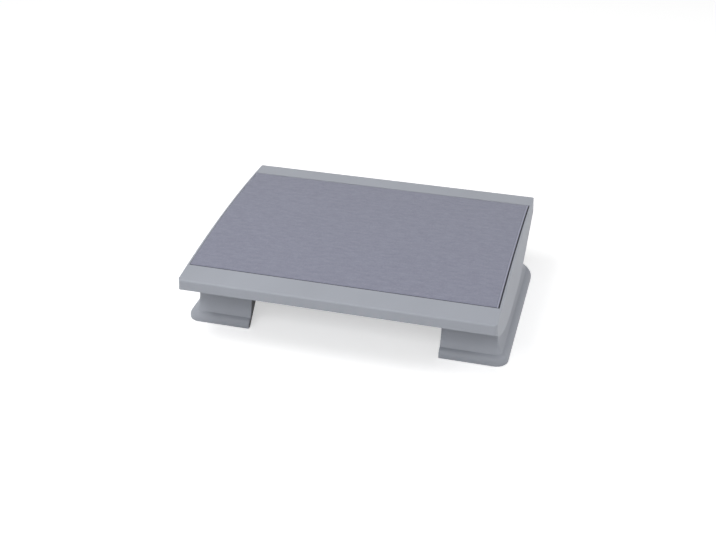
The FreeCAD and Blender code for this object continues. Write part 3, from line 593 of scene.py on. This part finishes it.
def screw_tree():
    """A grid of pan head screws: threaded shank, domed head and cross recess."""
    tree, given, place, (x, y, z) = start_tree(
        "screws", ["Columns", "Rows"],
        ["Span X", "Span Y", "X", "Y", "Seat", "Turn", "Length", "Radius", "Pitch", "Thread",
         "Head Radius", "Head Height"])
    # Shares of the head's radius: how much its top narrows, and how wide the recess's arms are
    head_taper, arm_width = 0.25, 0.26
    # The power by which the head narrows, which keeps its lower part nearly straight
    dome_power = 4.0
    # The recess's deeper arm against the other
    deep_share = 1.1
    # Rings of the shank's mesh in each turn of the thread, and how far the shank runs into the head
    steps_per_turn = 6.0
    bite = 0.2 * MM

    # The thread is a helix: each point's turn and height give its place between root and crest
    turns = add_node(tree, "ShaderNodeMath", {0: given["Length"], 1: given["Pitch"]},
                     operation="DIVIDE")
    segments = add_node(tree, "ShaderNodeMath", {0: turns, 1: steps_per_turn},
                        operation="MULTIPLY")
    rod = add_node(tree, "GeometryNodeMeshCylinder",
                   {"Vertices": 24, "Side Segments": segments, "Radius": given["Radius"],
                    "Depth": given["Length"]})
    angle = add_node(tree, "ShaderNodeMath", {0: y, 1: x}, operation="ARCTAN2")
    turn = add_node(tree, "ShaderNodeMath", {0: angle, 1: 2 * math.pi}, operation="DIVIDE")
    climb = add_node(tree, "ShaderNodeMath", {0: z, 1: given["Pitch"]}, operation="DIVIDE")
    phase = add_node(tree, "ShaderNodeMath", {0: climb, 1: turn}, operation="SUBTRACT")
    flank = add_node(tree, "ShaderNodeMath", {0: phase, 1: 0.5}, operation="PINGPONG")
    flank_share = add_node(tree, "ShaderNodeMath", {0: flank, 1: 2.0}, operation="MULTIPLY")
    groove = add_node(tree, "ShaderNodeMath", {0: flank_share, 1: given["Thread"]},
                      operation="MULTIPLY")
    waist = add_node(tree, "ShaderNodeMath", {0: 1.0, 1: groove}, operation="SUBTRACT")
    slimmer = add_node(tree, "ShaderNodeCombineXYZ", {0: waist, 1: waist, 2: 1.0})
    on_thread = add_node(tree, "ShaderNodeVectorMath", {0: place, 1: slimmer},
                         operation="MULTIPLY")
    cut = add_node(tree, "GeometryNodeSetPosition", {"Geometry": rod, "Position": on_thread})
    half_length = add_node(tree, "ShaderNodeMath", {0: given["Length"], 1: 0.5},
                           operation="MULTIPLY")
    to_seat = add_node(tree, "ShaderNodeCombineXYZ", {2: half_length})
    shank = add_node(tree, "GeometryNodeTransform", {"Geometry": cut, "Translation": to_seat})

    # The head narrows towards its top like a pan head, from the seat at 0 to its top at 1
    blank = add_node(tree, "GeometryNodeMeshCylinder",
                     {"Vertices": 40, "Side Segments": 8, "Radius": given["Head Radius"],
                      "Depth": given["Head Height"]})
    height_share = add_node(tree, "ShaderNodeMath", {0: z, 1: given["Head Height"]},
                            operation="DIVIDE")
    rise = add_node(tree, "ShaderNodeMath", {0: 0.5, 1: height_share}, operation="SUBTRACT")
    steep_rise = add_node(tree, "ShaderNodeMath", {0: rise, 1: dome_power}, operation="POWER")
    taper = add_node(tree, "ShaderNodeMath", {0: steep_rise, 1: head_taper}, operation="MULTIPLY")
    narrowed = add_node(tree, "ShaderNodeMath", {0: 1.0, 1: taper}, operation="SUBTRACT")
    narrower = add_node(tree, "ShaderNodeCombineXYZ", {0: narrowed, 1: narrowed, 2: 1.0})
    on_dome = add_node(tree, "ShaderNodeVectorMath", {0: place, 1: narrower}, operation="MULTIPLY")
    dome = add_node(tree, "GeometryNodeSetPosition", {"Geometry": blank, "Position": on_dome})
    half_down = add_node(tree, "ShaderNodeMath", {0: given["Head Height"], 1: -0.5},
                         operation="MULTIPLY")
    under_seat = add_node(tree, "ShaderNodeCombineXYZ", {2: half_down})
    head = add_node(tree, "GeometryNodeTransform", {"Geometry": dome, "Translation": under_seat})

    # One arm is a little deeper, because arms that end in one plane leave a flaw where they cross
    long_arm, height = given["Head Radius"], given["Head Height"]
    slim_arm = add_node(tree, "ShaderNodeMath", {0: long_arm, 1: arm_width}, operation="MULTIPLY")
    deep_arm = add_node(tree, "ShaderNodeMath", {0: height, 1: deep_share}, operation="MULTIPLY")
    arms = []
    for length, width, depth in ((long_arm, slim_arm, height), (slim_arm, long_arm, deep_arm)):
        size = add_node(tree, "ShaderNodeCombineXYZ", {0: length, 1: width, 2: depth})
        arms.append(add_node(tree, "GeometryNodeMeshCube", {"Size": size}))
    cross = add_node(tree, "GeometryNodeMeshBoolean", {"Mesh 2": arms}, operation="UNION")
    top = add_node(tree, "ShaderNodeMath", {0: height, 1: -1.0}, operation="MULTIPLY")
    to_top = add_node(tree, "ShaderNodeCombineXYZ", {2: top})
    punch = add_node(tree, "GeometryNodeTransform", {"Geometry": cross, "Translation": to_top})
    recessed = add_node(tree, "GeometryNodeMeshBoolean", {"Mesh 1": head, "Mesh 2": punch},
                        operation="DIFFERENCE")
    sunk = add_node(tree, "GeometryNodeTransform",
                    {"Geometry": shank, "Translation": (0, 0, -bite)})
    whole = add_node(tree, "GeometryNodeMeshBoolean", {"Mesh 2": [recessed, sunk]},
                     operation="UNION")

    along = add_node(tree, "ShaderNodeCombineXYZ", {0: given["Span X"]})
    row = add_node(tree, "GeometryNodeMeshLine", {"Count": given["Columns"], "Offset": along})
    across = add_node(tree, "ShaderNodeCombineXYZ", {1: given["Span Y"]})
    first = add_node(tree, "ShaderNodeCombineXYZ",
                     {0: given["X"], 1: given["Y"], 2: given["Seat"]})
    column = add_node(tree, "GeometryNodeMeshLine",
                      {"Count": given["Rows"], "Offset": across, "Start Location": first})
    rows = add_node(tree, "GeometryNodeInstanceOnPoints", {"Points": column, "Instance": row})
    places = add_node(tree, "GeometryNodeRealizeInstances", {"Geometry": rows})
    turned = add_node(tree, "ShaderNodeCombineXYZ", {0: given["Turn"]})
    facing = add_node(tree, "FunctionNodeEulerToRotation", {0: turned})
    screws = add_node(tree, "GeometryNodeInstanceOnPoints",
                      {"Points": places, "Instance": whole, "Rotation": facing})
    return end_tree(tree, given, screws)


class FOOTREST_OT_screws(bpy.types.Operator):
    """Build the threaded screws of the bearing caps and of the brackets"""

    bl_idname = "footrest.screws"
    bl_label = "Screws"

    def execute(self, context):
        screws = context.scene.footrest_screws
        steel = bpy.data.materials.get("zinc_plated_steel") or zinc_plated_steel(
            context.scene.footrest_finish)
        tree = screw_tree()
        kinds = {
            "cap_screws": (
                1, 2, screws.cap_head_radius, screws.cap_head_height, "platform"),
            "bracket_screws": (
                2, 2, screws.bracket_head_radius, screws.bracket_head_height, "base"),
        }
        for side in SIDES:
            for kind, (columns, rows, head_radius, head_height, body) in kinds.items():
                low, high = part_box(side + "_" + kind)
                # Cap screws are driven from below and bracket screws from above
                upward = kind == "cap_screws"
                piece = grow(side + "_threaded_" + kind, tree, {
                    "Columns": columns, "Rows": rows,
                    "X": low.x + head_radius, "Span X": high.x - low.x - 2 * head_radius,
                    "Y": low.y + head_radius, "Span Y": high.y - low.y - 2 * head_radius,
                    "Seat": low.z + head_height if upward else high.z - head_height,
                    "Turn": 0.0 if upward else math.pi, "Length": high.z - low.z - head_height,
                    "Radius": screws.radius, "Pitch": screws.pitch, "Thread": screws.thread,
                    "Head Radius": head_radius, "Head Height": head_height, "Material": steel})
                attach(piece, body)
                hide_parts(side + "_" + kind)
        return {"FINISHED"}


def arch_through(front, middle, back):
    """Radius and centre (y, z) of the circle through three (y, z) points of the arch."""
    (y1, z1), (y2, z2), (y3, z3) = front, middle, back
    d = 2 * (y1 * (z2 - z3) + y2 * (z3 - z1) + y3 * (z1 - z2))
    s1, s2, s3 = y1 * y1 + z1 * z1, y2 * y2 + z2 * z2, y3 * y3 + z3 * z3
    y = (s1 * (z2 - z3) + s2 * (z3 - z1) + s3 * (z1 - z2)) / d
    z = (s1 * (y3 - y2) + s2 * (y1 - y3) + s3 * (y2 - y1)) / d
    return math.hypot(y1 - y, z1 - z), y, z


def backing_arch():
    """The arch of the foam's top, which the carpet lies on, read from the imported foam."""
    tops = {}
    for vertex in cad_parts["mat_backing"].data.vertices:
        # To 0.01 mm, so that the points across the width count as one
        y = round(vertex.co.y, 5)
        tops[y] = max(tops.get(y, 0), vertex.co.z)
    front, crown, back = min(tops), max(tops, key=tops.get), max(tops)
    return arch_through((front, tops[front]), (crown, tops[crown]), (back, tops[back]))


class FOOTREST_OT_carpet(bpy.types.Operator):
    """Build the carpet that lies in the platform's recess"""

    bl_idname = "footrest.carpet"
    bl_label = "Carpet"

    def execute(self, context):
        carpet = context.scene.footrest_carpet
        radius, arch_y, arch_z = backing_arch()
        width = MAT_HIGH.x - MAT_LOW.x
        depth = MAT_HIGH.y - MAT_LOW.y
        piece = grow("carpet_inlay", carpet_tree(), {
            "Width": width, "Depth": depth, "Thickness": carpet.thickness, "Step": carpet.step,
            "Centre X": (MAT_HIGH.x + MAT_LOW.x) / 2 - carpet.slide,
            "Centre Y": (MAT_HIGH.y + MAT_LOW.y) / 2 + carpet.slide,
            "Arch Radius": radius, "Arch Y": arch_y, "Arch Z": arch_z, "Edge": carpet.edge,
            "Tuft": carpet.tuft, "Tuft Height": carpet.tuft_height, "Seed": float(carpet.seed),
            "Material": heather_carpet(carpet)})
        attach(piece, "platform")
        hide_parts("carpet_mat")
        return {"FINISHED"}


def softbox(name, place, size, power):
    """A large area light that looks at the footrest."""
    light = bpy.data.lights.new(name, "AREA")
    light.shape = "RECTANGLE"
    light.size, light.size_y = size
    light.energy = power
    lamp = bpy.data.objects.new(name, light)
    lamp.location = place
    look = Vector(LAMPS_LOOK_AT) - Vector(place)
    lamp.rotation_euler = look.to_track_quat("-Z", "Y").to_euler()
    bpy.context.scene.collection.objects.link(lamp)


def background_share(tree):
    """1 for what the camera, gloss or glass sees, and 0 for light that falls on the object."""
    path = add_node(tree, "ShaderNodeLightPath").outputs
    seen = add_node(tree, "ShaderNodeMath",
                    {0: path["Is Camera Ray"], 1: path["Is Glossy Ray"]}, operation="MAXIMUM")
    return add_node(tree, "ShaderNodeMath",
                    {0: seen, 1: path["Is Transmission Ray"]}, operation="MAXIMUM")


def pale_floor(stage):
    """Matt white studio floor that keeps the object's shadow and meets the white background."""
    material, tree, place = start_material("pale_studio_floor")
    # The paper's tooth is about 2 mm across
    tooth = add_node(tree, "ShaderNodeTexNoise", {"Vector": place, "Scale": 1 / (2 * MM)})
    tone = add_node(tree, "ShaderNodeValToRGB", {"Fac": tooth})
    tone.color_ramp.elements[0].color = rgba(linear("#F2F2F2"))
    tone.color_ramp.elements[1].color = rgba(linear("#F6F6F6"))
    paper = add_node(tree, "ShaderNodeBsdfDiffuse", {"Color": tone})
    lift = add_node(tree, "ShaderNodeMath", {0: background_share(tree), 1: stage.lift},
                    operation="MULTIPLY")
    glow = add_node(tree, "ShaderNodeEmission", {"Strength": lift})
    both_parts = add_node(tree, "ShaderNodeAddShader", {0: paper, 1: glow})
    add_node(tree, "ShaderNodeOutputMaterial", {"Surface": both_parts})
    return material


class FOOTREST_OT_stage(bpy.types.Operator):
    """Set up the floor, the studio light and the camera"""

    bl_idname = "footrest.stage"
    bl_label = "Studio"

    def execute(self, context):
        scene = context.scene
        stage = scene.footrest_stage
        mesh = bpy.data.meshes.new("studio_floor")
        half = stage.floor
        mesh.from_pydata([(-half, -half, 0), (half, -half, 0), (half, half, 0), (-half, half, 0)],
                         [], [(0, 1, 2, 3)])
        mesh.materials.append(pale_floor(stage))
        floor = bpy.data.objects.new("studio_floor", mesh)
        scene.collection.objects.link(floor)

        world = bpy.data.worlds.new("studio")
        scene.world = world
        world.use_nodes = True
        tree = world.node_tree
        tree.nodes.clear()
        share = background_share(tree)
        strength = add_node(tree, "ShaderNodeMapRange",
                            {"Value": share, "To Min": stage.ambient, "To Max": 1.0})
        sky = add_node(tree, "ShaderNodeBackground",
                       {"Color": (1, 1, 1, 1), "Strength": strength})
        add_node(tree, "ShaderNodeOutputWorld", {"Surface": sky})

        for name, (place, size) in LAMPS.items():
            softbox(name + "_light", place, size, getattr(stage, name))

        camera_data = bpy.data.cameras.new("photo_camera")
        camera_data.lens = stage.lens
        camera = bpy.data.objects.new("photo_camera", camera_data)
        camera.location = stage.camera
        level = math.cos(stage.elevation)
        look = Vector((-math.sin(stage.azimuth) * level, math.cos(stage.azimuth) * level,
                       -math.sin(stage.elevation)))
        camera.rotation_euler = look.to_track_quat("-Z", "Y").to_euler()
        scene.collection.objects.link(camera)
        scene.camera = camera
        scene.view_settings.view_transform = "Standard"
        return {"FINISHED"}


OPERATORS = (FOOTREST_OT_mouldings, FOOTREST_OT_brackets, FOOTREST_OT_axle, FOOTREST_OT_rubber,
             FOOTREST_OT_carpet, FOOTREST_OT_screws, FOOTREST_OT_stage)


class FOOTREST_PT_panel(bpy.types.Panel):
    """Lists the footrest's pieces and settings"""

    bl_idname = "FOOTREST_PT_panel"
    bl_label = "Tilting footrest"
    bl_space_type = "VIEW_3D"
    bl_region_type = "UI"
    bl_category = "Footrest"

    def draw(self, context):
        for operator in OPERATORS:
            self.layout.operator(operator.bl_idname)
        for group in GROUPS:
            settings = getattr(context.scene, group)
            column = self.layout.column()
            for name in settings.__annotations__:
                column.prop(settings, name)


GROUPS = {"footrest_finish": FootrestFinish, "footrest_carpet": FootrestCarpet,
          "footrest_screws": FootrestScrews, "footrest_stage": FootrestStage}


def register():
    for group in GROUPS.values():
        bpy.utils.register_class(group)
    for operator in OPERATORS:
        bpy.utils.register_class(operator)
    bpy.utils.register_class(FOOTREST_PT_panel)
    for name, group in GROUPS.items():
        setattr(bpy.types.Scene, name, PointerProperty(type=group))


def unregister():
    for name in GROUPS:
        delattr(bpy.types.Scene, name)
    bpy.utils.unregister_class(FOOTREST_PT_panel)
    for operator in reversed(OPERATORS):
        bpy.utils.unregister_class(operator)
    for group in reversed(list(GROUPS.values())):
        bpy.utils.unregister_class(group)


def main():
    register()
    for operator in OPERATORS:
        area, name = operator.bl_idname.split(".")
        getattr(getattr(bpy.ops, area), name)()


if __name__ == "__main__":
    main()
